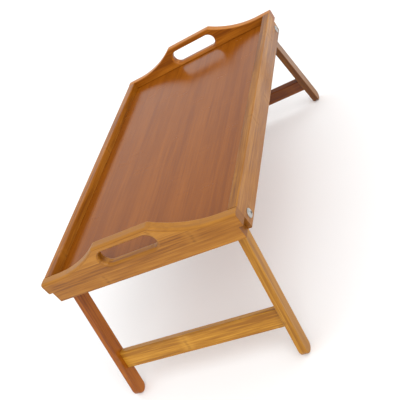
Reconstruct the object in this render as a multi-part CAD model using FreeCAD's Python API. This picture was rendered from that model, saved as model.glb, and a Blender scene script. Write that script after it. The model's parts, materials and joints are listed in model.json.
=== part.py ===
"""Folding tray table: a bamboo bed tray on two folding leg frames.

Millimetres, +Z up.  X runs along the tray, from the left handle to the right one, and Y runs
from the front rail to the rear rail.  The origin is on the floor under the middle of the tray,
with the legs open.
"""
import FreeCAD, Part
import math
import os

Vector = FreeCAD.Vector

# Tray
tray_length = 500.0
tray_width = 295.0
rim_rise = 12.0
rail_thickness = 12.5
board_thickness = 14.0
panel_thickness = 3.0
groove_depth = 5.0
notch_land = 3.0
notch_side = 6.0
wood_edge = 1.5
grip_edge = 4.0

# Handles in the end boards
handle_rise = 25.0
handle_half = 41.5
handle_corner = 6.0
rim_flat = 23.0
slot_length = 84.0
slot_height = 22.5
slot_cover = 9.5

# Leg frames
leg_width = 19.8
leg_thickness = 10.6
leg_reach = 192.5
leg_splay = 18.3
foot_flat_cut = 0.4
bar_height = 26.0
bar_thickness = 10.8
bar_setback = 7.5
bar_above_foot = 42.1

# Pivot hardware
bolt_diameter = 5.0
head_diameter = 12.0
head_rise = 2.8
head_rim = 0.6
socket_flats = 3.0
socket_depth = 1.6
spacer_diameter = 12.0
spacer_thickness = 1.5
washer_diameter = 10.0
washer_thickness = 1.0
nut_flats = 8.0
nut_height = 5.0
nut_collar = 1.2
nut_collar_diameter = 7.2
bolt_overhang = 1.0

# Dowels
corner_dowel_diameter = 6.0
corner_dowel_in_board = 9.0
corner_dowel_in_rail = 18.0
bar_dowel_diameter = 6.0
bar_dowel_in_leg = 7.5
bar_dowel_in_bar = 12.0
bar_dowel_pitch = 13.0

# Clearances
fold_clear_below = 0.3
fold_clear_above = 0.4
stop_gap = 0.1
side_gap = 0.15
shank_gap_rail = 0.10
shank_gap_leg = 0.08
washer_gap = 0.20
panel_edge_gap = 0.5
panel_lift_gap = 0.15
dowel_end_gap = 0.5

# Sizes that follow from the ones above
splay = math.radians(leg_splay)
leg_half = leg_width / 2
half_length = tray_length / 2
half_width = tray_width / 2
board_inner = half_length - board_thickness
rail_inner = half_width - rail_thickness
pivot_up = leg_half + fold_clear_below
pivot_from_board = (leg_half + stop_gap + pivot_up * math.sin(splay)) / math.cos(splay)
pivot_x = board_inner - pivot_from_board
foot_centre = leg_reach - leg_half
foot_drop = foot_centre * math.cos(splay) + leg_half - foot_flat_cut
tray_bottom = foot_drop - pivot_up
pivot_z = tray_bottom + pivot_up
panel_bottom = tray_bottom + pivot_up + leg_half + fold_clear_above
panel_top = panel_bottom + panel_thickness
groove_top = panel_top + panel_lift_gap
rim_top = panel_top + rim_rise
handle_top = rim_top + handle_rise
notch_top = panel_bottom - notch_land
notch_inner = half_width - notch_side
slot_middle = handle_top - slot_cover - slot_height / 2
flank_start = half_width - rim_flat
flank_run = flank_start - handle_half
flank_radius = (flank_run ** 2 + handle_rise ** 2) / (2 * handle_rise)
corner_dowel_y = half_width - rail_thickness / 2
corner_dowel_z = (groove_top + rim_top) / 2
leg_outer = rail_inner - spacer_thickness - side_gap
leg_inner = leg_outer - leg_thickness

SIDES = {"front": -1, "rear": 1}
ENDS = {"left": -1, "right": 1}


def box(x0, x1, y0, y1, z0, z1):
    return Part.makeBox(x1 - x0, y1 - y0, z1 - z0, Vector(x0, y0, z0))


def rod_along_y(radius, x, z, y0, y1):
    return Part.makeCylinder(radius, y1 - y0, Vector(x, y0, z), Vector(0, 1, 0))


def rod_along_x(radius, y, z, x0, x1):
    return Part.makeCylinder(radius, x1 - x0, Vector(x0, y, z), Vector(1, 0, 0))


def ring(outer, inner, x, z, y0, y1):
    return rod_along_y(outer, x, z, y0, y1).cut(rod_along_y(inner, x, z, y0, y1))


def hexagon_along_y(flats, x, z, y0, y1):
    """A hexagonal prism along Y, with the given distance across its flats."""
    corner = flats / math.sqrt(3)
    turns = [math.radians(60 * step) for step in range(7)]
    points = [Vector(x + corner * math.cos(a), y0, z + corner * math.sin(a)) for a in turns]
    return Part.Face(Part.makePolygon(points)).extrude(Vector(0, y1 - y0, 0))


def mirror_x(shape):
    return shape.mirror(Vector(0, 0, 0), Vector(1, 0, 0))


def mirror_y(shape):
    return shape.mirror(Vector(0, 0, 0), Vector(0, 1, 0))


def at_corner(shape, end, side):
    """Moves a shape made for the right end and the rear side to any of the four corners."""
    if ENDS[end] < 0:
        shape = mirror_x(shape)
    if SIDES[side] < 0:
        shape = mirror_y(shape)
    return shape


def round_edges(shape, wanted, radius):
    edges = [edge for edge in shape.Edges if wanted(edge)]
    return shape.makeFillet(radius, edges)


def export(name, shape):
    shape.exportStep("parts/" + name + ".step")


def board_outline():
    """The end board's outline in the YZ plane: notched below, with the handle's rise on top."""
    flank_centre = rim_top + flank_radius
    reach = flank_radius + handle_corner
    corner_y = flank_start - math.sqrt(2 * reach * handle_rise - handle_rise ** 2)
    corner_z = handle_top - handle_corner
    down = -math.pi / 2
    up = math.pi / 2
    to_corner = math.atan2(corner_z - flank_centre, corner_y - flank_start)
    to_flank = to_corner + math.pi

    def on_flank(angle):
        return (flank_start + flank_radius * math.cos(angle), flank_centre + flank_radius * math.sin(angle))

    def on_corner(angle):
        return (corner_y + handle_corner * math.cos(angle), corner_z + handle_corner * math.sin(angle))

    return [
        ("line", [(0, tray_bottom), (notch_inner, tray_bottom)]),
        ("line", [(notch_inner, tray_bottom), (notch_inner, notch_top)]),
        ("line", [(notch_inner, notch_top), (half_width, notch_top)]),
        ("line", [(half_width, notch_top), (half_width, rim_top)]),
        ("line", [(half_width, rim_top), (flank_start, rim_top)]),
        ("arc", [on_flank(down), on_flank((down + to_corner) / 2), on_flank(to_corner)]),
        ("arc", [on_corner(to_flank), on_corner((to_flank + up) / 2), on_corner(up)]),
        ("line", [(corner_y, handle_top), (0, handle_top)]),
    ]


def outline_face(half, x):
    """A face in the plane at x, from the half outline and its mirror image."""
    edges = []
    for sign in (1, -1):
        for kind, points in half:
            places = [Vector(x, sign * y, z) for y, z in points]
            edge = Part.Arc(*places).toShape() if kind == "arc" else Part.makeLine(*places)
            edges.append(edge)
    return Part.Face(Part.Wire(Part.__sortEdges__(edges)))


def hand_slot(x0, x1):
    """The handle's slot with round ends, as the solid to cut away."""
    radius = slot_height / 2
    reach = slot_length / 2 - radius
    middle = box(x0, x1, -reach, reach, slot_middle - radius, slot_middle + radius)
    ends = [rod_along_x(radius, y, slot_middle, x0, x1) for y in (-reach, reach)]
    return middle.fuse(ends).removeSplitter()


def corner_dowel(end_gap=0.0):
    """The dowel from the rail into the end board; with an end gap, the hole that it sits in."""
    start = board_inner - corner_dowel_in_rail - end_gap
    end = board_inner + corner_dowel_in_board + end_gap
    return rod_along_x(corner_dowel_diameter / 2, corner_dowel_y, corner_dowel_z, start, end)


def panel_groove():
    """The space that the panel's edges take in the rails and end boards."""
    reach_x = board_inner + groove_depth
    reach_y = rail_inner + groove_depth
    return box(-reach_x, reach_x, -reach_y, reach_y, panel_bottom, groove_top)


def right_end_board():
    board = outline_face(board_outline(), board_inner).extrude(Vector(board_thickness, 0, 0))

    def top_edge(edge, x):
        lowest = min(vertex.Z for vertex in edge.Vertexes)
        at_x = abs(edge.BoundBox.XMin - x) < 0.01 and edge.BoundBox.XLength < 0.01
        return lowest > rim_top - 0.01 and at_x

    board = round_edges(board, lambda edge: top_edge(edge, half_length), grip_edge)
    board = round_edges(board, lambda edge: top_edge(edge, board_inner), wood_edge)
    board = board.cut(hand_slot(board_inner - 1, half_length + 1))

    def slot_edge(edge):
        flat = edge.BoundBox.XLength < 0.01
        within_y = edge.BoundBox.YMax < slot_length / 2 + 0.01 and edge.BoundBox.YMin > -slot_length / 2 - 0.01
        low = edge.BoundBox.ZMin > slot_middle - slot_height / 2 - 0.01
        high = edge.BoundBox.ZMax < slot_middle + slot_height / 2 + 0.01
        return flat and within_y and low and high

    board = round_edges(board, slot_edge, grip_edge)
    board = board.cut(panel_groove())
    for side in SIDES:
        board = board.cut(at_corner(corner_dowel(dowel_end_gap), "right", side))
    return board


def rear_rail():
    rail = box(-board_inner, board_inner, rail_inner, half_width, tray_bottom, rim_top)

    def long_edge(edge):
        return edge.BoundBox.XLength > board_inner

    rail = round_edges(rail, long_edge, wood_edge)
    rail = rail.cut(panel_groove())
    for end in ENDS:
        x = ENDS[end] * pivot_x
        hole = rod_along_y(bolt_diameter / 2 + shank_gap_rail, x, pivot_z, rail_inner - 1, half_width + 1)
        rail = rail.cut(hole)
        rail = rail.cut(at_corner(corner_dowel(dowel_end_gap), end, "rear"))
    return rail


def tray_panel():
    reach_x = board_inner + groove_depth - panel_edge_gap
    reach_y = rail_inner + groove_depth - panel_edge_gap
    return box(-reach_x, reach_x, -reach_y, reach_y, panel_bottom, panel_top)


def pivot_bolt():
    """A domed bolt from outside the rail, with a hexagonal socket in its head."""
    radius = head_diameter / 2
    dome = head_rise - head_rim
    ball = (radius ** 2 + dome ** 2) / (2 * dome)
    y0 = half_width
    rim = Vector(pivot_x + radius, y0 + head_rim, pivot_z)
    tip = Vector(pivot_x, y0 + head_rise, pivot_z)
    half_way = math.asin(radius / ball) / 2
    between = Vector(pivot_x + ball * math.sin(half_way), tip.y - ball + ball * math.cos(half_way), pivot_z)
    middle = Vector(pivot_x, y0, pivot_z)
    foot = Vector(pivot_x + radius, y0, pivot_z)
    edges = [Part.makeLine(middle, foot), Part.makeLine(foot, rim), Part.Arc(rim, between, tip).toShape()]
    edges.append(Part.makeLine(tip, middle))
    head = Part.Face(Part.Wire(edges)).revolve(middle, Vector(0, 1, 0), 360)
    bolt_end = leg_inner - side_gap - washer_thickness - nut_height - bolt_overhang
    bolt = head.fuse(rod_along_y(bolt_diameter / 2, pivot_x, pivot_z, bolt_end, y0 + head_rim / 2))
    socket_floor = y0 + head_rise - socket_depth
    return bolt.cut(hexagon_along_y(socket_flats, pivot_x, pivot_z, socket_floor, y0 + head_rise + 1))


def spacer_washer():
    hole = bolt_diameter / 2 + washer_gap
    return ring(spacer_diameter / 2, hole, pivot_x, pivot_z, rail_inner - spacer_thickness, rail_inner)


def inner_washer():
    hole = bolt_diameter / 2 + washer_gap
    y1 = leg_inner - side_gap
    return ring(washer_diameter / 2, hole, pivot_x, pivot_z, y1 - washer_thickness, y1)


def lock_nut():
    """A hexagonal nut with a round locking collar on its inner side."""
    y1 = leg_inner - side_gap - washer_thickness
    y0 = y1 - nut_height
    nut = hexagon_along_y(nut_flats, pivot_x, pivot_z, y0 + nut_collar, y1)
    nut = nut.fuse(rod_along_y(nut_collar_diameter / 2, pivot_x, pivot_z, y0, y1))
    return nut.cut(rod_along_y(bolt_diameter / 2, pivot_x, pivot_z, y0 - 1, y1 + 1))


def leg_outline():
    """The leg from its side, round at both ends, with the pivot at the origin and the foot down along -Z."""
    head = Part.Arc(Vector(-leg_half, 0, 0), Vector(0, 0, leg_half), Vector(leg_half, 0, 0)).toShape()
    right = Part.makeLine(Vector(leg_half, 0, 0), Vector(leg_half, 0, -foot_centre))
    foot = Part.Arc(Vector(leg_half, 0, -foot_centre), Vector(0, 0, -leg_reach),
                    Vector(-leg_half, 0, -foot_centre)).toShape()
    left = Part.makeLine(Vector(-leg_half, 0, -foot_centre), Vector(-leg_half, 0, 0))
    return Part.Face(Part.Wire([head, right, foot, left]))


def open_out(shape):
    """Takes a right-hand leg-frame piece from its upright place at the origin to its open place."""
    shape.rotate(Vector(0, 0, 0), Vector(0, 1, 0), -leg_splay)
    shape.translate(Vector(pivot_x, 0, pivot_z))
    return shape


def bar_places():
    """The crossbar's box from the side: x0, x1, z0, z1, measured from the pivot."""
    front = leg_half - bar_setback
    low = -leg_reach + bar_above_foot
    return front - bar_thickness, front, low, low + bar_height


def bar_dowels(end_gap=0.0):
    """The two dowels at one end of the crossbar; with an end gap, the holes that they sit in."""
    x0, x1, z0, z1 = bar_places()
    y0 = leg_inner - bar_dowel_in_bar - end_gap
    y1 = leg_inner + bar_dowel_in_leg + end_gap
    heights = [(z0 + z1) / 2 + step * bar_dowel_pitch for step in (-0.5, 0.5)]
    return [rod_along_y(bar_dowel_diameter / 2, (x0 + x1) / 2, z, y0, y1) for z in heights]


def leg():
    body = leg_outline().extrude(Vector(0, leg_thickness, 0))
    body.translate(Vector(0, leg_inner, 0))

    def side_edge(edge):
        return edge.BoundBox.YLength < 0.01

    body = round_edges(body, side_edge, wood_edge)
    hole = rod_along_y(bolt_diameter / 2 + shank_gap_leg, 0, 0, leg_inner - 1, leg_outer + 1)
    body = body.cut(hole)
    body = body.cut(bar_dowels(dowel_end_gap))
    body = open_out(body)
    floor = box(0, tray_length, -tray_width, tray_width, -leg_reach, 0)
    return body.cut(floor)


def crossbar():
    x0, x1, z0, z1 = bar_places()
    bar = box(x0, x1, -leg_inner, leg_inner, z0, z1)

    def long_edge(edge):
        return edge.BoundBox.YLength > leg_inner

    bar = round_edges(bar, long_edge, wood_edge)
    holes = bar_dowels(dowel_end_gap)
    bar = bar.cut(holes + [mirror_y(hole) for hole in holes])
    return open_out(bar)


os.makedirs("parts", exist_ok=True)

export("tray_panel", tray_panel())
export("rear_rail", rear_rail())
export("front_rail", mirror_y(rear_rail()))
export("right_end_board", right_end_board())
export("left_end_board", mirror_x(right_end_board()))
export("right_crossbar", crossbar())
export("left_crossbar", mirror_x(crossbar()))

corner_pieces = {
    "corner_dowel": corner_dowel(),
    "pivot_bolt": pivot_bolt(),
    "spacer_washer": spacer_washer(),
    "inner_washer": inner_washer(),
    "lock_nut": lock_nut(),
    "leg": leg(),
    "bar_dowels": open_out(Part.makeCompound(bar_dowels())),
}
for end in ENDS:
    for side in SIDES:
        for piece, shape in corner_pieces.items():
            export(end + "_" + side + "_" + piece, at_corner(shape, end, side))

print("rail bottom, rim and handle top above the floor:", tray_bottom, rim_top, handle_top)
print("pivot x and z:", pivot_x, pivot_z)
print("panel bottom and top:", panel_bottom, panel_top)
print("flank radius and slot middle:", flank_radius, slot_middle)
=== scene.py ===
"""Looks for the bamboo folding tray table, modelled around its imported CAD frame.

Metres, in the CAD frame: X along the tray, Y across it and Z up, with the floor at zero.
Each board, rail, leg and fastener is modelled by hand in its CAD place and rides on its body.
"""

import json
import math

import bmesh
import bpy
from mathutils import Matrix, Vector


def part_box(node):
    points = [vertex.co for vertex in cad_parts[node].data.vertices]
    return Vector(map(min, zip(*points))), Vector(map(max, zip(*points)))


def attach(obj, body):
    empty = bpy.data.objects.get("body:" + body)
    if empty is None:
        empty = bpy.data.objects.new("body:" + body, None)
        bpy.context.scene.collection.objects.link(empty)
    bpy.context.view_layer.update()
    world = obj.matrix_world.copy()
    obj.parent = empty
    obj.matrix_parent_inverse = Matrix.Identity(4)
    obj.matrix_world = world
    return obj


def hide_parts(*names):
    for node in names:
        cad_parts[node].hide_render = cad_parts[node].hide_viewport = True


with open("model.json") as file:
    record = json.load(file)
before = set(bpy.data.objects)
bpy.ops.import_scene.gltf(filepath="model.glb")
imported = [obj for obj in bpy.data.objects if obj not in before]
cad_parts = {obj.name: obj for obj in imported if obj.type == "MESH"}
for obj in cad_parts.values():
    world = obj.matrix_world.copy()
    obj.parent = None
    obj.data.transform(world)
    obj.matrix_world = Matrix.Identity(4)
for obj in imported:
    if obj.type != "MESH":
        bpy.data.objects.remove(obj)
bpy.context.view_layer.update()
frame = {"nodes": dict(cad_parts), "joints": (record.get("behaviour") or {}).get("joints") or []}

# Places that come from the frame
board_low, board_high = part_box("right_end_board")
rail_low, rail_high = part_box("rear_rail")
panel_low, panel_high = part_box("tray_panel")
leg_low, leg_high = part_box("right_rear_leg")
bolt_low, bolt_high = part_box("right_rear_pivot_bolt")
spacer_low, spacer_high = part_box("right_rear_spacer_washer")
washer_low, washer_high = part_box("right_rear_inner_washer")
nut_low, nut_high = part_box("right_rear_lock_nut")
dowel_low, dowel_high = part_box("right_rear_corner_dowel")
bar_dowel_low, bar_dowel_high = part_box("right_rear_bar_dowels")
fold = next(joint for joint in frame["joints"] if joint["name"] == "right_leg_fold")
pivot = Vector(fold["pos_m"])
splay = math.radians(fold["range_deg"][1] - 90)

half_width = board_high.y
rail_inner = rail_low.y
rim_top = rail_high.z
tray_bottom = rail_low.z
handle_top = board_high.z
dowel_y = (dowel_low.y + dowel_high.y) / 2
dowel_z = (dowel_low.z + dowel_high.z) / 2
dowel_radius = (dowel_high.z - dowel_low.z) / 2

# Roundings
grip_edge = 0.004
wood_edge = 0.0015
soft_edge = 0.0005
joint_edge = 0.0002

# Sizes of the tray
panel_gap = 0.00015
groove_depth = 0.005
groove_top = panel_high.z + panel_gap
notch_land = 0.003
notch_top = panel_low.z - notch_land
notch_side = 0.006
notch_inner = half_width - notch_side
rim_flat = 0.023
flank_start = half_width - rim_flat
flank_radius = 0.15028
handle_corner = 0.006
half_peak = math.radians(16.8)
slot_length = 0.084
slot_height = 0.0225
slot_cover = 0.0095
slot_middle = handle_top - slot_cover - slot_height / 2
dowel_gap = 0.0005
strip_seam = 0.0167

# Sizes of the leg frames, measured from the pivot along an upright leg
leg_half = 0.0099
leg_reach = 0.1925
foot_centre = leg_reach - leg_half
bar_setback = 0.0075
bar_thickness = 0.0108
bar_front = leg_half - bar_setback
bar_back = bar_front - bar_thickness
bar_above_foot = 0.0421
bar_width = 0.026
bar_low = -leg_reach + bar_above_foot
bar_high = bar_low + bar_width
bar_dowel_pitch = 0.013
bar_dowel_radius = 0.003

# Sizes of the hardware
shank_radius = 0.0025
rail_bore = shank_radius + 0.0001
leg_bore = shank_radius + 0.00008
ring_bore = shank_radius + 0.0002
head_rise = 0.0028
head_rim = 0.0006
dome_rings = 12
socket_flats = 0.003
socket_depth = 0.0016
tip_edge = 0.0005
metal_edge = 0.00015
nut_flats = 0.008
nut_edge = 0.0006
collar_height = 0.0012
collar_radius = 0.0036
collar_sink = 0.001
collar_edge = 0.0004

# Allowances: how far a cutter stands out of the wood, and how near counts as the same place
overshoot = 0.002
slack = 0.00002
saw_slack = 0.000001
weld_gap = 0.000005

# Angles between faces: an edge to round, a rounding to shade smooth, and faces that are level
sharp_angle = math.radians(40)
smooth_angle = math.radians(35)
level_angle = math.radians(0.1)

ENDS = {"left": -1, "right": 1}
SIDES = {"front": -1, "rear": 1}


# ---- Hand tools ----

def deselect():
    bpy.ops.object.select_all(action="DESELECT")


def take(piece):
    """Makes a piece the only one selected, and the active one."""
    deselect()
    piece.select_set(True)
    bpy.context.view_layer.objects.active = piece


def settle(name):
    """Names the new primitive and puts its place into its mesh."""
    piece = bpy.context.object
    piece.name = name
    piece.data.name = name
    bpy.ops.object.transform_apply(location=True, rotation=True, scale=True)
    return piece


def block(name, low, high):
    """A box from its lowest corner to its highest."""
    deselect()
    low, high = Vector(low), Vector(high)
    bpy.ops.mesh.primitive_cube_add(size=1, location=(low + high) / 2, scale=high - low)
    return settle(name)


def rod(name, start, end, radius, sides=64):
    """A cylinder from one point to another."""
    deselect()
    start, end = Vector(start), Vector(end)
    run = end - start
    turn = run.to_track_quat("Z", "Y").to_euler()
    bpy.ops.mesh.primitive_cylinder_add(
        vertices=sides, radius=radius, depth=run.length, location=(start + end) / 2, rotation=turn)
    return settle(name)


def open_edges(piece, wanted):
    """Opens a piece in edit mode with the wanted edges selected."""
    take(piece)
    bpy.context.tool_settings.mesh_select_mode = (False, True, False)
    bpy.ops.object.mode_set(mode="EDIT")
    bpy.ops.mesh.select_all(action="DESELECT")
    mesh = bmesh.from_edit_mesh(piece.data)
    for edge in mesh.edges:
        if wanted(edge):
            edge.select_set(True)
    bmesh.update_edit_mesh(piece.data)


def open_faces(piece, wanted):
    """Opens a piece in edit mode with the wanted faces selected."""
    take(piece)
    bpy.context.tool_settings.mesh_select_mode = (False, False, True)
    bpy.ops.object.mode_set(mode="EDIT")
    bpy.ops.mesh.select_all(action="DESELECT")
    mesh = bmesh.from_edit_mesh(piece.data)
    for face in mesh.faces:
        if wanted(face):
            face.select_set(True)
    bmesh.update_edit_mesh(piece.data)


def close():
    bpy.ops.object.mode_set(mode="OBJECT")


def saw(piece, place, normal, keep_below=False):
    """Bisects a piece; with keep_below, what lies past the plane goes and the cut is filled."""
    take(piece)
    bpy.ops.object.mode_set(mode="EDIT")
    bpy.ops.mesh.select_all(action="SELECT")
    bpy.ops.mesh.bisect(plane_co=place, plane_no=normal, clear_outer=keep_below,
                        use_fill=keep_below, threshold=saw_slack)
    close()


def pull(piece, wanted, shift):
    """Extrudes the wanted faces by a shift."""
    open_faces(piece, wanted)
    bpy.ops.mesh.extrude_region_move(TRANSFORM_OT_translate={"value": shift})
    close()


def combine(piece, tool, operation="DIFFERENCE"):
    """Cuts a piece with a tool, joins them or keeps what they share, and takes the tool away."""
    take(piece)
    bpy.ops.object.modifier_add(type="BOOLEAN")
    modifier = piece.modifiers[-1]
    modifier.operation = operation
    modifier.solver = "EXACT"
    modifier.object = tool
    bpy.ops.object.modifier_apply(modifier=modifier.name)
    bpy.data.objects.remove(tool)


def drill(piece, start, end, radius):
    combine(piece, rod("drill", start, end, radius, sides=48))


def near(value, target):
    return abs(value - target) < slack


def sharp(edge):
    return edge.is_convex and edge.calc_face_angle(0) > sharp_angle


def weld(piece):
    """Joins the doubled points and level faces left by a cut, which would hold a rounding back."""
    take(piece)
    bpy.ops.object.mode_set(mode="EDIT")
    bpy.ops.mesh.select_all(action="SELECT")
    bpy.ops.mesh.remove_doubles(threshold=weld_gap)
    bpy.ops.mesh.dissolve_limited(angle_limit=level_angle)
    close()


def round_over(piece, wanted, width, segments, clamp=True):
    """Rounds the wanted edges, and marks the middle of each rounding for its wear.

    The clamp is left off where short cut lines end on the edges, and would hold the rounding back.
    """
    weld(piece)
    open_edges(piece, wanted)
    bpy.ops.mesh.bevel(
        offset=width, segments=segments, affect="EDGES", clamp_overlap=clamp)
    mesh = bmesh.from_edit_mesh(piece.data)
    worn = mesh.verts.layers.float.get("rounded") or mesh.verts.layers.float.new("rounded")
    for vertex in mesh.verts:
        if vertex.link_faces and all(face.select for face in vertex.link_faces):
            vertex[worn] = min(1.0, width / wood_edge)
    bmesh.update_edit_mesh(piece.data)
    close()


def smooth_off(piece):
    """Smooth shading on the roundings, with the flats kept flat."""
    take(piece)
    bpy.ops.object.shade_smooth_by_angle(angle=smooth_angle)
    bpy.ops.object.modifier_add(type="WEIGHTED_NORMAL")
    piece.modifiers[-1].keep_sharp = True
    bpy.ops.object.modifier_apply(modifier=piece.modifiers[-1].name)


def share_between(value, low, high):
    """How far a value lies from low to high, kept between 0 and 1."""
    return min(1.0, max(0.0, (value - low) / (high - low)))


def mark_end_grain(piece, along):
    """Marks the faces that cut across the grain, which soak up more stain."""
    along = Vector(along).normalized()
    marks = piece.data.attributes.new("end_grain", "FLOAT", "FACE")
    for polygon in piece.data.polygons:
        facing = abs(polygon.normal.dot(along))
        marks.data[polygon.index].value = share_between(facing, 0.6, 0.9)


def mark_painted_top_light(piece):
    """Marks the upward faces of the handle's outline, for a painted highlight that makes them
    paler, as light falling from above would.
    """
    marks = piece.data.attributes.new("painted_top_light", "FLOAT", "FACE")
    for polygon in piece.data.polygons:
        if polygon.center.z > rim_top - grip_edge - 0.001:
            marks.data[polygon.index].value = share_between(polygon.normal.z, 0.3, 0.8)


def stand_for(piece, node, body, slot, material):
    """Puts a finished piece in a CAD node's place, on its body, with its finish."""
    smooth_off(piece)
    piece.data.materials.clear()
    piece.data.materials.append(material)
    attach(piece, body)
    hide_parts(node)


def mirrored(piece, name, flip_x=False, flip_y=False):
    """A copy of a piece with its own mesh, on the other side of the tray."""
    copy = piece.copy()
    copy.data = piece.data.copy()
    copy.name = name
    copy.data.name = name
    bpy.context.scene.collection.objects.link(copy)
    copy.scale = (-1 if flip_x else 1, -1 if flip_y else 1, 1)
    take(copy)
    bpy.ops.object.transform_apply(location=True, rotation=True, scale=True)
    if flip_x != flip_y:
        bpy.ops.object.mode_set(mode="EDIT")
        bpy.ops.mesh.select_all(action="SELECT")
        bpy.ops.mesh.normals_make_consistent(inside=False)
        close()
    return copy


# ---- Woodwork ----

def make_end_board():
    """The right end board: a notched board with the handle's rise, flanks and hand slot."""
    board = block("end_board", (board_low.x, -half_width, notch_top),
                  (board_high.x, half_width, rim_top))
    for y in (-notch_inner, notch_inner, -flank_start, flank_start):
        saw(board, (0, y, 0), (0, 1, 0))

    def between(face, reach, z):
        """A level face at a height, nearer the middle than a reach."""
        middle = face.calc_center_median()
        return near(middle.z, z) and abs(face.normal.z) > 0.9 and abs(middle.y) < reach

    pull(board, lambda face: between(face, notch_inner, notch_top),
         (0, 0, tray_bottom - notch_top))
    pull(board, lambda face: between(face, flank_start, rim_top), (0, 0, handle_top - rim_top))
    cut_from = board_low.x - overshoot
    cut_to = board_high.x + overshoot
    for sign in (-1, 1):
        y = sign * flank_start
        z = rim_top + flank_radius
        combine(board, rod("flank", (cut_from, y, z), (cut_to, y, z), flank_radius, sides=360))

    def handle_peak(edge):
        """An edge across the board where the handle's top meets a flank."""
        ends = [vertex.co for vertex in edge.verts]
        on_top = all(near(co.z, handle_top) for co in ends)
        return on_top and near(ends[0].y, ends[1].y) and not near(ends[0].x, ends[1].x)

    open_edges(board, handle_peak)
    bpy.ops.mesh.bevel(offset=handle_corner * math.tan(half_peak), segments=8, affect="EDGES")
    close()

    def outline_edge(edge, x):
        """The outline of the top, on the face at x."""
        ends = [vertex.co for vertex in edge.verts]
        at_x = all(near(co.x, x) for co in ends)
        return sharp(edge) and at_x and min(co.z for co in ends) > rim_top - slack

    round_over(board, lambda edge: outline_edge(edge, board_high.x), grip_edge, segments=6,
               clamp=False)
    round_over(board, lambda edge: outline_edge(edge, board_low.x), wood_edge, segments=4)
    radius = slot_height / 2
    reach = slot_length / 2 - radius
    slot = block("slot", (cut_from, -reach, slot_middle - radius),
                 (cut_to, reach, slot_middle + radius))
    for y in (-reach, reach):
        end = rod("slot_end", (cut_from, y, slot_middle), (cut_to, y, slot_middle), radius,
                  sides=72)
        combine(slot, end, "UNION")
    combine(board, slot)

    def slot_edge(edge):
        ends = [vertex.co for vertex in edge.verts]
        on_face = near(ends[0].x, ends[1].x)
        in_length = all(abs(co.y) < slot_length / 2 + slack for co in ends)
        in_height = all(abs(co.z - slot_middle) < radius + slack for co in ends)
        return sharp(edge) and on_face and in_length and in_height

    round_over(board, slot_edge, grip_edge, segments=6, clamp=False)
    groove_reach = rail_inner + groove_depth
    groove = block("groove", (cut_from, -groove_reach, panel_low.z),
                   (board_low.x + groove_depth, groove_reach, groove_top))
    combine(board, groove)
    for sign in (-1, 1):
        y = sign * dowel_y
        drill(board, (cut_from, y, dowel_z), (dowel_high.x + dowel_gap, y, dowel_z), dowel_radius)

    def in_groove(co):
        past = 0.0001
        return (abs(co.y) < groove_reach - past and co.x < board_low.x + groove_depth + past
                and panel_low.z - past < co.z < groove_top + past)

    def plain_edge(edge):
        """An edge below the rim's top, other than the rims of the dowel holes."""
        ends = [vertex.co for vertex in edge.verts]
        top = max(co.z for co in ends)
        on_inner_face = all(near(co.x, board_low.x) for co in ends)
        dowel_rim = (on_inner_face and not all(in_groove(co) for co in ends)
                     and top > groove_top + 0.001)
        return sharp(edge) and top < rim_top + slack and not dowel_rim

    round_over(board, plain_edge, soft_edge, segments=2)
    return board


def make_rail():
    """The rear rail: a rounded bar, grooved for the panel and bored for the bolts and dowels."""
    rail = block("rail", rail_low, rail_high)

    def long_edge(edge):
        return abs(edge.verts[0].co.x - edge.verts[1].co.x) > rail_high.x

    round_over(rail, long_edge, wood_edge, segments=4)
    round_over(rail, sharp, joint_edge, segments=1)
    for z in (panel_low.z, groove_top):
        saw(rail, (0, 0, z), (0, 0, 1))

    def groove_face(face):
        middle = face.calc_center_median()
        in_height = panel_low.z < middle.z < groove_top
        return near(middle.y, rail_inner) and in_height and abs(face.normal.y) > 0.9

    pull(rail, groove_face, (0, groove_depth, 0))
    for sign in (-1, 1):
        x = sign * pivot.x
        drill(rail, (x, rail_low.y - overshoot, pivot.z), (x, rail_high.y + overshoot, pivot.z),
              rail_bore)
        drill(rail, (sign * (dowel_low.x - dowel_gap), dowel_y, dowel_z),
              (sign * (rail_high.x + overshoot), dowel_y, dowel_z), dowel_radius)
    return rail


def make_panel():
    """The serving panel, with its edges broken."""
    panel = block("panel", panel_low, panel_high)
    round_over(panel, sharp, soft_edge, segments=2)
    return panel


def open_out(piece):
    """Takes an upright piece, with its pivot at the origin, to its open place on the right."""
    take(piece)
    piece.rotation_euler = (0, -splay, 0)
    piece.location = pivot
    bpy.ops.object.transform_apply(location=True, rotation=True, scale=True)


def bar_dowel_places():
    """The places of a crossbar's two dowels, in X and Z on an upright leg."""
    x = (bar_front + bar_back) / 2
    middle = (bar_low + bar_high) / 2
    return [(x, middle + step * bar_dowel_pitch) for step in (-0.5, 0.5)]


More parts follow.
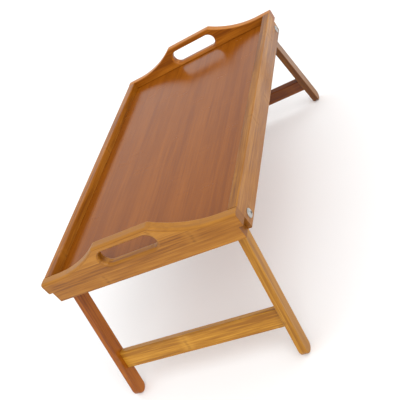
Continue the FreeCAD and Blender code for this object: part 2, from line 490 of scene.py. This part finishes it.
def make_leg():
    """The right rear leg: round at both ends, bored for the bolt and the crossbar's dowels."""
    sides = 72
    leg = rod("leg", (0, leg_low.y, 0), (0, leg_high.y, 0), leg_half, sides)
    take(leg)
    leg.rotation_euler = (0, math.pi / sides, 0)
    bpy.ops.object.transform_apply(location=True, rotation=True, scale=True)
    bpy.context.tool_settings.mesh_select_mode = (True, False, False)
    bpy.ops.object.mode_set(mode="EDIT")
    bpy.ops.mesh.select_all(action="DESELECT")
    mesh = bmesh.from_edit_mesh(leg.data)
    for vertex in mesh.verts:
        vertex.select_set(vertex.co.z < 0)
    bmesh.update_edit_mesh(leg.data)
    bpy.ops.transform.translate(value=(0, 0, -foot_centre))
    close()

    def on_outline(co):
        past_end = max(co.z, 0, -co.z - foot_centre)
        return math.hypot(co.x, past_end) > leg_half - 0.0001

    def rim(edge):
        ends = [vertex.co for vertex in edge.verts]
        return sharp(edge) and near(ends[0].y, ends[1].y) and all(on_outline(co) for co in ends)

    round_over(leg, rim, wood_edge, segments=4)
    inside = leg_low.y - overshoot
    drill(leg, (0, inside, 0), (0, leg_high.y + overshoot, 0), leg_bore)
    for x, z in bar_dowel_places():
        drill(leg, (x, inside, z), (x, bar_dowel_high.y + dowel_gap, z), bar_dowel_radius)
    open_out(leg)
    saw(leg, (0, 0, 0), (0, 0, -1), keep_below=True)
    return leg


def make_crossbar():
    """The right crossbar, with its ends against the legs' inner sides."""
    reach = leg_low.y
    bar = block("crossbar", (bar_back, -reach, bar_low), (bar_front, reach, bar_high))

    def long_edge(edge):
        return abs(edge.verts[0].co.y - edge.verts[1].co.y) > reach

    round_over(bar, long_edge, wood_edge, segments=4)
    round_over(bar, sharp, joint_edge, segments=1)
    for sign in (-1, 1):
        start = sign * (bar_dowel_low.y - dowel_gap)
        for x, z in bar_dowel_places():
            drill(bar, (x, start, z), (x, sign * (reach + overshoot), z), bar_dowel_radius)
    open_out(bar)
    return bar


# ---- Hardware, for the right rear pivot ----

def on_axis(y):
    """A place on the pivot's axis."""
    return (pivot.x, y, pivot.z)


def make_bolt():
    """A domed bolt: the head is drawn in ring by ring, and the shank drawn out from under it."""
    y = rail_high.y
    radius = (bolt_high.x - bolt_low.x) / 2
    bolt = rod("bolt", on_axis(y), on_axis(y + head_rim), radius)
    dome = head_rise - head_rim
    ball = (radius ** 2 + dome ** 2) / (2 * dome)
    open_faces(bolt, lambda face: face.normal.y > 0.9)
    reached, risen = radius, 0.0
    for step in range(1, dome_rings):
        here = radius * (1 - step / dome_rings)
        rise = math.sqrt(ball ** 2 - here ** 2) - (ball - dome)
        bpy.ops.mesh.inset(thickness=reached - here, depth=rise - risen)
        reached, risen = here, rise
    close()
    open_faces(bolt, lambda face: face.normal.y < -0.9)
    bpy.ops.mesh.inset(thickness=radius - shank_radius, depth=0)
    bpy.ops.mesh.extrude_region_move(TRANSFORM_OT_translate={"value": (0, bolt_low.y - y, 0)})
    close()

    def tip(edge):
        return sharp(edge) and all(near(vertex.co.y, bolt_low.y) for vertex in edge.verts)

    round_over(bolt, tip, tip_edge, segments=2)
    corner = socket_flats / math.sqrt(3)
    socket_floor = y + head_rise - socket_depth
    combine(bolt, rod("socket", on_axis(socket_floor), on_axis(y + head_rise + overshoot), corner,
                      sides=6))

    def rim(edge):
        return sharp(edge) and all(vertex.co.y > y - 0.0001 for vertex in edge.verts)

    round_over(bolt, rim, metal_edge, segments=2)
    return bolt


def make_ring(name, low, high):
    """A flat ring round the bolt, with its edges broken."""
    radius = (high.x - low.x) / 2
    ring = rod(name, on_axis(low.y), on_axis(high.y), radius)
    drill(ring, on_axis(low.y - overshoot), on_axis(high.y + overshoot), ring_bore)
    round_over(ring, sharp, metal_edge, segments=2)
    return ring


def make_nut():
    """A hexagonal nut with turned-off corners and a round locking collar on its inner side."""
    corner = nut_flats / math.sqrt(3)
    base = nut_low.y + collar_height
    nut = rod("nut", on_axis(base), on_axis(nut_high.y), corner, sides=6)
    take(nut)
    bpy.ops.object.mode_set(mode="EDIT")
    bpy.ops.mesh.select_all(action="SELECT")
    bpy.ops.transform.rotate(value=math.radians(30), orient_axis="Y", center_override=on_axis(base))
    close()
    turned = rod("turned", on_axis(base), on_axis(nut_high.y), corner)
    round_over(turned, sharp, nut_edge, segments=3)
    combine(nut, turned, "INTERSECT")
    collar = rod("collar", on_axis(nut_low.y), on_axis(base + collar_sink), collar_radius)

    def brim(edge):
        return sharp(edge) and all(near(vertex.co.y, nut_low.y) for vertex in edge.verts)

    round_over(collar, brim, collar_edge, segments=3)
    combine(nut, collar, "UNION")
    drill(nut, on_axis(nut_low.y - overshoot), on_axis(nut_high.y + overshoot), shank_radius)
    return nut


# ---- Finishes ----

class Finish:
    """A material's nodes, with short calls for the ones that the finishes share."""

    def __init__(self, name):
        self.material = bpy.data.materials.new(name)
        self.material.use_nodes = True
        self.tree = self.material.node_tree
        self.tree.nodes.clear()
        output = self.add("ShaderNodeOutputMaterial")
        self.shader = self.add("ShaderNodeBsdfPrincipled")
        self.join(self.shader.outputs["BSDF"], output.inputs["Surface"])

    def add(self, kind, **settings):
        node = self.tree.nodes.new(kind)
        for key, value in settings.items():
            setattr(node, key, value)
        return node

    def join(self, source, target):
        self.tree.links.new(source, target)

    def put(self, value, target):
        """Feeds a socket with another node's output, or with a plain value."""
        if isinstance(value, bpy.types.NodeSocket):
            self.join(value, target)
        else:
            target.default_value = value

    def place(self, turn, centre, shift):
        """Object coordinates with the grain along X, measured from the piece's centre."""
        coordinates = self.add("ShaderNodeTexCoord")
        mapping = self.add("ShaderNodeMapping")
        mapping.inputs["Rotation"].default_value = turn.to_euler()
        mapping.inputs["Location"].default_value = Vector(shift) - turn @ Vector(centre)
        self.join(coordinates.outputs["Object"], mapping.inputs["Vector"])
        return mapping.outputs["Vector"]

    def place_as_is(self):
        """Object coordinates with nothing turned or moved."""
        return self.place(Matrix.Identity(3), (0, 0, 0), (0, 0, 0))

    def stretch(self, place, scale, shift=None):
        """Multiplies a place by a scale per axis, and adds a shift where one is given."""
        scaled = self.vector("MULTIPLY", place, scale)
        return self.vector("ADD", scaled, shift) if shift is not None else scaled

    def vector(self, operation, a, b):
        node = self.add("ShaderNodeVectorMath", operation=operation)
        self.put(a, node.inputs[0])
        self.put(b, node.inputs[1])
        return node.outputs["Vector"]

    def math(self, operation, a, b=0.0):
        node = self.add("ShaderNodeMath", operation=operation)
        self.put(a, node.inputs[0])
        self.put(b, node.inputs[1])
        return node.outputs["Value"]

    def plus(self, a, b):
        return self.math("ADD", a, b)

    def less(self, a, b):
        return self.math("SUBTRACT", a, b)

    def times(self, a, b):
        return self.math("MULTIPLY", a, b)

    def from_middle(self, value):
        """How far a running count is from the middle of its cell, from 0 to 0.5."""
        return self.math("ABSOLUTE", self.less(self.math("FRACT", value), 0.5))

    def span(self, value, from_low, from_high, to_low, to_high):
        """Takes a value from one range to another, clamped, with a smooth start and end."""
        node = self.add("ShaderNodeMapRange", interpolation_type="SMOOTHSTEP")
        self.put(value, node.inputs["Value"])
        node.inputs["From Min"].default_value = from_low
        node.inputs["From Max"].default_value = from_high
        node.inputs["To Min"].default_value = to_low
        node.inputs["To Max"].default_value = to_high
        return node.outputs["Result"]

    def split(self, place):
        node = self.add("ShaderNodeSeparateXYZ")
        self.join(place, node.inputs["Vector"])
        return node.outputs["X"], node.outputs["Y"], node.outputs["Z"]

    def gather(self, x, y, z):
        node = self.add("ShaderNodeCombineXYZ")
        self.put(x, node.inputs["X"])
        self.put(y, node.inputs["Y"])
        self.put(z, node.inputs["Z"])
        return node.outputs["Vector"]

    def noise(self, place, scale, detail=2.0, roughness=0.5):
        node = self.add("ShaderNodeTexNoise")
        self.join(place, node.inputs["Vector"])
        node.inputs["Scale"].default_value = scale
        node.inputs["Detail"].default_value = detail
        node.inputs["Roughness"].default_value = roughness
        return node.outputs["Fac"]

    def chance(self, place):
        """A random value and a random colour for each whole-numbered cell."""
        node = self.add("ShaderNodeTexWhiteNoise", noise_dimensions="3D")
        self.join(place, node.inputs["Vector"])
        return node.outputs["Value"], node.outputs["Color"]

    def ramp(self, value, stops):
        node = self.add("ShaderNodeValToRGB")
        points = node.color_ramp.elements
        while len(points) < len(stops):
            points.new(0.5)
        for point, (where, colour) in zip(points, stops):
            point.position = where
            point.color = (*colour, 1)
        self.join(value, node.inputs["Fac"])
        return node.outputs["Color"]

    def mark(self, name):
        """A value that the piece's mesh carries; 0 where it has none."""
        return self.add("ShaderNodeAttribute", attribute_name=name).outputs["Fac"]

    def blend(self, share, a, b):
        """Mixes two colours; either may be another node's output."""
        node = self.add("ShaderNodeMix", data_type="RGBA", blend_type="MIX")
        self.put(share, node.inputs[0])
        self.put(a if isinstance(a, bpy.types.NodeSocket) else (*a, 1), node.inputs[6])
        self.put(b if isinstance(b, bpy.types.NodeSocket) else (*b, 1), node.inputs[7])
        return node.outputs[2]

    def bump(self, height, distance):
        node = self.add("ShaderNodeBump")
        node.inputs["Distance"].default_value = distance
        node.inputs["Strength"].default_value = 1.0
        self.join(height, node.inputs["Height"])
        return node.outputs["Normal"]

    def dress(self, colour, roughness, relief, depth):
        """Gives the shader its colour, roughness and surface relief."""
        self.join(colour, self.shader.inputs["Base Color"])
        self.join(roughness, self.shader.inputs["Roughness"])
        self.join(self.bump(relief, depth), self.shader.inputs["Normal"])


# Light, middle, dark and cane-joint tones of the bamboo
FRAME_TONES = ((0.37, 0.155, 0.017), (0.27, 0.098, 0.006), (0.15, 0.045, 0.002),
               (0.09, 0.024, 0.001))
PANEL_TONES = ((0.36, 0.108, 0.006), (0.30, 0.086, 0.003), (0.23, 0.060, 0.002),
               (0.15, 0.034, 0.001))

# A tint for each frame piece: partly the wood's own tone and partly painted light and shade, darker
# for pieces in shade under the tray and paler for those facing the light
TINTS_AND_PAINTED_LIGHT = {
    "left_end_board": (1.07, 1.06, 1.0),
    "right_end_board": (1.30, 1.10, 0.90),
    "front_rail": (1.03, 1.02, 1.05),
    "rear_rail": (1.2, 1.08, 0.9),
    "left_crossbar": (1.6, 1.95, 2.5),
    "right_crossbar": (0.62, 0.42, 0.16),
    "left_front_leg": (1.2, 1.35, 1.45),
    "left_rear_leg": (1.0, 0.72, 0.30),
    "right_front_leg": (0.70, 0.64, 0.52),
    "right_rear_leg": (0.70, 0.60, 0.40),
}

# Dark and light tones of the other finishes
STEEL_TONES = ((0.34, 0.33, 0.32), (0.50, 0.49, 0.47))
NYLON_TONES = ((0.74, 0.72, 0.66), (0.84, 0.82, 0.77))
BEECH_TONES = ((0.42, 0.24, 0.11), (0.66, 0.45, 0.25))
FLOOR_TONES = ((0.93, 0.93, 0.93), (0.95, 0.95, 0.95))

# Width and depth of the glued strips, and lowest and highest roughness
FRAME_STRIPS = (0.0205, 0.0066)
PANEL_STRIPS = (0.0195, 0.003)
FRAME_GLOSS = (0.30, 0.44)
PANEL_GLOSS = (0.16, 0.24)

# How often each kind of grain changes, per metre along and across the strips
BROAD_GRAIN = (2.2, 70.0, 70.0)
RAGGED_GRAIN = (20.0, 110.0, 110.0)
STREAK_GRAIN = (15.0, 400.0, 400.0)
FIBRE_GRAIN = (40.0, 1300.0, 1300.0)
BEECH_GRAIN = (60.0, 1600.0, 1600.0)
STEEL_SCRATCHES = (5000.0, 800.0, 800.0)

# Lengths in the bamboo: between cane joints, their raggedness, and the glue lines' widths
FRAME_JOINTS = 0.23
PANEL_JOINTS = 0.19
JOINT_RAGGEDNESS = 0.007
ROW_GLUE = 0.0005
LAYER_GLUE = 0.0004

# Depths of the surface relief
BAMBOO_RELIEF = 0.00006
BEECH_RELIEF = 0.00005
NYLON_RELIEF = 0.00002
STEEL_RELIEF = 0.00001


def grain(along, across):
    """The turn that brings a piece's length to X and its broad side to Y."""
    along, across = Vector(along).normalized(), Vector(across).normalized()
    return Matrix((along, across, along.cross(across)))


def bamboo(name, turn, centre, shift, strips, tones, gloss, joint_period):
    """Laminated bamboo: strips of their own tone, long fibres, cane joints and glue lines."""
    finish = Finish(name)
    place = finish.place(turn, centre, shift)
    x, y, z = finish.split(place)
    strip_width, strip_depth = strips
    light, middle, dark, joint = tones

    # Each strip is a cell with a tone and a grain of its own
    row = finish.math("DIVIDE", y, strip_width)
    layer = finish.math("DIVIDE", z, strip_depth)
    cell = finish.gather(finish.math("FLOOR", row), finish.math("FLOOR", layer), 0.0)
    chance, chances = finish.chance(cell)
    stagger = finish.vector("MULTIPLY", chances, (9.0, 5.0, 7.0))
    broad = finish.noise(finish.stretch(place, BROAD_GRAIN, stagger), 1.0, 3.0, 0.55)
    streaks = finish.noise(finish.stretch(place, STREAK_GRAIN, stagger), 1.0, 4.0, 0.62)
    fibres = finish.noise(finish.stretch(place, FIBRE_GRAIN, stagger), 1.0, 2.0)
    blush = finish.noise(place, 9.0, 2.0)

    tone = finish.plus(finish.times(broad, 0.45), finish.times(streaks, 0.55))
    tone = finish.plus(tone, finish.times(finish.less(chance, 0.5), 0.16))
    colour = finish.ramp(tone, [(0.39, dark), (0.51, middle), (0.63, light)])
    colour = finish.blend(finish.span(fibres, 0.54, 0.70, 0.0, 0.40), colour, dark)
    colour = finish.blend(finish.span(blush, 0.35, 0.7, 0.0, 0.22), colour, middle)

    # The joints of the cane: a thin dark core in a paler halo, at its own place on each strip
    ragged = finish.noise(finish.stretch(place, RAGGED_GRAIN, stagger), 1.0, 2.0)
    along = finish.plus(x, finish.times(finish.less(ragged, 0.5), JOINT_RAGGEDNESS))
    turns = finish.plus(finish.math("DIVIDE", along, joint_period), finish.times(chance, 7.0))
    from_joint = finish.from_middle(turns)
    core = finish.times(finish.span(from_joint, 0.002, 0.016, 1.0, 0.0),
                        finish.span(streaks, 0.38, 0.60, 1.0, 0.25))
    halo = finish.span(from_joint, 0.012, 0.060, 1.0, 0.0)
    colour = finish.blend(finish.times(halo, 0.30), colour, light)
    colour = finish.blend(finish.times(core, 0.42), colour, joint)

    # The glue lines between the strips
    seam = finish.math(
        "MAXIMUM",
        finish.span(finish.from_middle(row), 0.5 - ROW_GLUE / strip_width, 0.5, 0.0, 1.0),
        finish.span(finish.from_middle(layer), 0.5 - LAYER_GLUE / strip_depth, 0.5, 0.0, 1.0))
    colour = finish.blend(finish.times(seam, 0.35), colour, joint)

    # End grain takes more stain, the handle's upward tops get a painted highlight, and rubbed
    # roundings wear pale
    colour = finish.blend(finish.times(finish.mark("end_grain"), 0.6), colour, dark)
    colour = finish.blend(finish.times(finish.mark("painted_top_light"), 0.6), colour, light)
    rubbed = finish.times(finish.mark("rounded"), finish.span(broad, 0.35, 0.65, 0.10, 0.40))
    colour = finish.blend(rubbed, colour, light)

    low_gloss, high_gloss = gloss
    polish = finish.plus(finish.span(blush, 0.3, 0.7, low_gloss, high_gloss),
                         finish.times(finish.less(fibres, 0.5), 0.10))
    polish = finish.plus(polish, finish.times(core, 0.10))
    relief = finish.less(finish.plus(streaks, finish.times(fibres, 0.7)), finish.times(seam, 0.8))
    relief = finish.plus(relief, finish.times(core, 0.6))
    finish.dress(colour, polish, relief, BAMBOO_RELIEF)
    return finish


def frame_bamboo(node, turn, centre, shift):
    """The golden bamboo of the frame; each piece has a tint of its own, partly its wood's tone and
    partly painted light and shade.
    """
    tint_and_painted_light = TINTS_AND_PAINTED_LIGHT[node]
    tones = [tuple(part * share for part, share in zip(tone, tint_and_painted_light)) for tone in FRAME_TONES]
    finish = bamboo("bamboo_" + node, turn, centre, shift, FRAME_STRIPS, tones, FRAME_GLOSS,
                    FRAME_JOINTS)
    finish.shader.inputs["IOR"].default_value = 1.35
    return finish.material


def panel_bamboo(name, turn, centre, shift):
    """The red-brown bamboo of the serving panel."""
    finish = bamboo(name, turn, centre, shift, PANEL_STRIPS, PANEL_TONES, PANEL_GLOSS,
                    PANEL_JOINTS)
    finish.shader.inputs["IOR"].default_value = 1.30
    return finish.material


def two_tones(finish, value, tones):
    dark, light = tones
    return finish.ramp(value, [(0.3, dark), (0.7, light)])


def zinc_steel(name):
    """Zinc-plated steel, clouded and finely scratched."""
    finish = Finish(name)
    finish.shader.inputs["Metallic"].default_value = 1.0
    place = finish.place_as_is()
    cloud = finish.noise(place, 900.0, 3.0)
    scratches = finish.noise(finish.stretch(place, STEEL_SCRATCHES), 1.0, 2.0)
    finish.dress(two_tones(finish, cloud, STEEL_TONES),
                 finish.span(scratches, 0.3, 0.7, 0.22, 0.38), scratches, STEEL_RELIEF)
    return finish.material


def white_nylon(name):
    """Natural nylon, slightly clouded."""
    finish = Finish(name)
    cloud = finish.noise(finish.place_as_is(), 400.0, 3.0)
    finish.dress(two_tones(finish, cloud, NYLON_TONES),
                 finish.span(cloud, 0.3, 0.7, 0.40, 0.55), cloud, NYLON_RELIEF)
    return finish.material


def dowel_beech(name, along):
    """Bare beech, with its fleck along the dowel."""
    finish = Finish(name)
    place = finish.place(grain(along, (0, 0, 1)), (0, 0, 0), (0, 0, 0))
    fleck = finish.noise(finish.stretch(place, BEECH_GRAIN), 1.0, 3.0)
    finish.dress(two_tones(finish, fleck, BEECH_TONES),
                 finish.span(fleck, 0.3, 0.7, 0.50, 0.70), fleck, BEECH_RELIEF)
    return finish.material


def floor_paint():
    """Plain pale paint, with hardly any shine."""
    finish = Finish("pale_floor")
    cloud = finish.noise(finish.place_as_is(), 3.0, 3.0)
    finish.join(two_tones(finish, cloud, FLOOR_TONES), finish.shader.inputs["Base Color"])
    finish.join(finish.span(cloud, 0.3, 0.7, 0.75, 0.85), finish.shader.inputs["Roughness"])
    finish.shader.inputs["Specular IOR Level"].default_value = 0.2
    return finish.material


# ---- Making the table ----

down_leg = Vector((math.sin(splay), 0, -math.cos(splay)))
out_leg = Vector((math.cos(splay), 0, math.sin(splay)))


def build_tray():
    """The end boards, rails and panel; each shift picks a different length of cane."""
    board = make_end_board()
    left_board = mirrored(board, "handle_board_left", flip_x=True)
    board.name = "handle_board_right"
    upright = grain((0, 1, 0), (0, 0, 1))
    boards = (("left", left_board, (0.31, 0.0, 0.0)), ("right", board, (1.73, 0.0, 0.0066)))
    for end, piece, shift in boards:
        centre = (ENDS[end] * (board_low.x + board_high.x) / 2, 0, tray_bottom + strip_seam)
        material = frame_bamboo(end + "_end_board", upright, centre, shift)
        mark_end_grain(piece, (0, 1, 0))
        mark_painted_top_light(piece)
        stand_for(piece, end + "_end_board", "tray", "frame_bamboo", material)
    rail = make_rail()
    front_rail = mirrored(rail, "long_rail_front", flip_y=True)
    rail.name = "long_rail_rear"
    lengthwise = grain((1, 0, 0), (0, 0, 1))
    rails = (("front", front_rail, (0.57, 0.0, 0.0)), ("rear", rail, (2.21, 0.0, 0.0066)))
    for side, piece, shift in rails:
        centre = (0, SIDES[side] * (rail_low.y + rail_high.y) / 2, tray_bottom + strip_seam)
        material = frame_bamboo(side + "_rail", lengthwise, centre, shift)
        mark_end_grain(piece, (1, 0, 0))
        stand_for(piece, side + "_rail", "tray", "frame_bamboo", material)
    panel = make_panel()
    panel.name = "serving_panel"
    flat = grain((1, 0, 0), (0, 1, 0))
    material = panel_bamboo("bamboo_panel", flat, (0, 0, panel_low.z), (4.1, 0.0, 0.0))
    stand_for(panel, "tray_panel", "tray", "panel_bamboo", material)


def build_leg_frames():
    """The crossbars and legs, from one model of each."""
    leg = make_leg()
    bar = make_crossbar()
    number = 0
    for end, x_sign in ENDS.items():
        body = end + "_leg_frame"
        down = Vector((x_sign * down_leg.x, 0, down_leg.z))
        out = Vector((x_sign * out_leg.x, 0, out_leg.z))
        start = Vector((x_sign * pivot.x, 0, pivot.z))
        crossbar = mirrored(bar, "crossbar_" + end, flip_x=x_sign < 0)
        centre = start + down * (-bar_low)
        material = frame_bamboo(end + "_crossbar", grain((0, 1, 0), -down), centre,
                                (0.83 + 1.9 * number, -0.004, 0.002))
        mark_end_grain(crossbar, (0, 1, 0))
        stand_for(crossbar, end + "_crossbar", body, "frame_bamboo", material)
        for side, y_sign in SIDES.items():
            number += 1
            copy = mirrored(leg, "folding_leg_" + end + "_" + side,
                            flip_x=x_sign < 0, flip_y=y_sign < 0)
            centre = start + Vector((0, y_sign * leg_low.y, 0)) - out * leg_half
            material = frame_bamboo(end + "_" + side + "_leg", grain(down, out), centre,
                                    (0.37 * number, 0.0, 0.0053 * number))
            mark_end_grain(copy, down)
            stand_for(copy, end + "_" + side + "_leg", body, "frame_bamboo", material)
    bpy.data.objects.remove(leg)
    bpy.data.objects.remove(bar)


def build_hardware():
    """The bolts, rings and nuts, from one model of each."""
    steel = zinc_steel("zinc_steel")
    nylon = white_nylon("white_nylon")
    spacer = make_ring("spacer", spacer_low, spacer_high)
    washer = make_ring("washer", washer_low, washer_high)
    models = (
        (make_bolt(), "domed_bolt_", "_pivot_bolt", "bolt_steel", steel),
        (spacer, "spacer_ring_", "_spacer_washer", "spacer_nylon", nylon),
        (washer, "flat_washer_", "_inner_washer", "bolt_steel", steel),
        (make_nut(), "locking_nut_", "_lock_nut", "bolt_steel", steel),
    )
    for model, start_name, node_end, slot, material in models:
        for end, x_sign in ENDS.items():
            for side, y_sign in SIDES.items():
                place = end + "_" + side
                copy = mirrored(model, start_name + place,
                                flip_x=x_sign < 0, flip_y=y_sign < 0)
                stand_for(copy, place + node_end, "tray", slot, material)
        bpy.data.objects.remove(model)


def finish_dowels():
    """The dowels keep their CAD shape inside the joints, with a hardwood finish."""
    kinds = {"_corner_dowel": dowel_beech("beech_corner_dowel", (1, 0, 0)),
             "_bar_dowels": dowel_beech("beech_bar_dowel", (0, 1, 0))}
    for name, node in frame["nodes"].items():
        for ending, material in kinds.items():
            if name.endswith(ending):
                for slot in node.material_slots:
                    slot.material = material


def build_stage():
    """A plain floor under the feet."""
    bpy.ops.mesh.primitive_plane_add(size=14, location=(0, 0, 0))
    floor = settle("floor")
    floor.data.materials.append(floor_paint())


def add_sun(name, comes_from, strength, spread):
    """A soft light from one side, the same all over the floor."""
    light = bpy.data.lights.new(name, "SUN")
    light.energy = strength
    light.angle = math.radians(spread)
    lamp = bpy.data.objects.new(name, light)
    lamp.location = comes_from
    lamp.rotation_euler = (-Vector(comes_from)).to_track_quat("-Z", "Y").to_euler()
    bpy.context.scene.collection.objects.link(lamp)


def light_studio():
    """White light from all round, with a soft key from the front left."""
    world = bpy.data.worlds.new("studio")
    bpy.context.scene.world = world
    world.use_nodes = True
    sky = world.node_tree.nodes["Background"]
    sky.inputs["Color"].default_value = (1, 1, 1, 1)
    sky.inputs["Strength"].default_value = 1.05
    add_sun("key", comes_from=(-1.5, -1.4, 1.3), strength=1.5, spread=60)


def place_camera():
    """The camera stands past the left end, on the front side, well above the rim and rolled."""
    camera_data = bpy.data.cameras.new("camera")
    camera = bpy.data.objects.new("camera", camera_data)
    bpy.context.scene.collection.objects.link(camera)
    camera_data.sensor_width = 36
    camera_data.lens = 58.305
    camera_data.clip_start = 0.05
    camera_data.clip_end = 40
    camera.location = (-0.7578, -0.4449, tray_bottom + 0.4125)
    looks = Vector((0.7346, 0.4634, -0.4956)).normalized()
    right = Vector((0.1541, -0.8253, -0.5433))
    right = (right - looks * right.dot(looks)).normalized()
    up = right.cross(looks)
    camera.rotation_euler = Matrix((right, up, -looks)).transposed().to_euler()
    bpy.context.scene.camera = camera


place_camera()
build_stage()
light_studio()
build_tray()
build_leg_frames()
build_hardware()
finish_dowels()
bpy.context.scene.view_settings.view_transform = "Standard"
